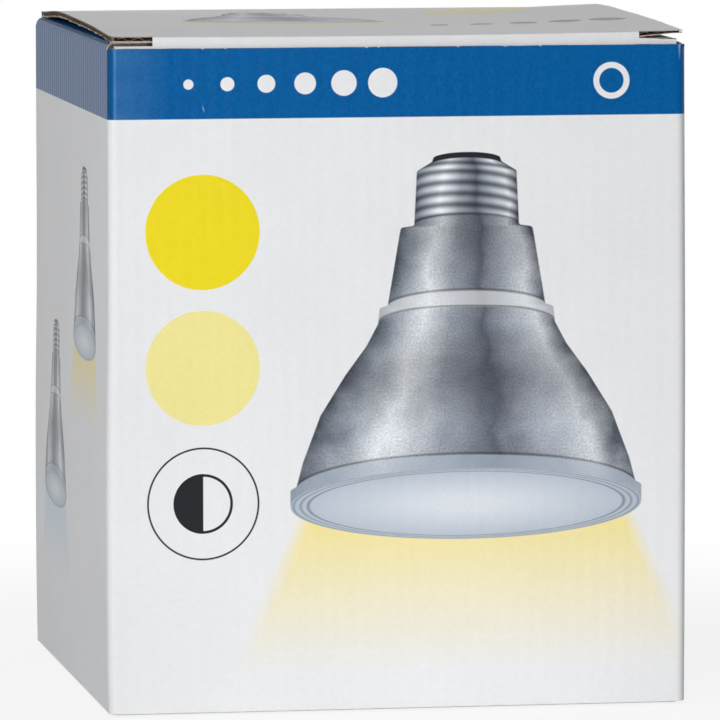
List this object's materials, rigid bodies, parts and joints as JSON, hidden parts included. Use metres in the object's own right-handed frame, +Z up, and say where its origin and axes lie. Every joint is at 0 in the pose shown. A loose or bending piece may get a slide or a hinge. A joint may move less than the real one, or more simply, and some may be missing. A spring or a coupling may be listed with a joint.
{
  "type": "light bulb carton",
  "caption": "Square corrugated-board retail carton for a reflector lamp, with a hinged tuck-in lid held by slit locks, dust flaps under it and a glued hook-lock bottom.",
  "frame": {"origin": "middle of the underside, on the ground", "axes": "+Z up, +X to the right and +Y to the back when facing the front panel; the lid is hinged at the back"},
  "size_m": [0.127, 0.127, 0.1473],
  "materials": {
    "printed_board": "white coated outside with a blue printed band at the top, brown kraft inside",
    "printed_lid_board": "white coated outside, brown kraft inside"
  },
  "bodies": {
    "carton": {"carton_body": "printed_board"},
    "lid": {"lid": "printed_lid_board"}
  },
  "joints": [
    {"name": "lid_hinge", "type": "hinge", "parent": "carton", "child": "lid", "pos_m": [0, 0.0635, 0.1455], "axis": [-1, 0, 0], "range_deg": [0, 180]}
  ]
}
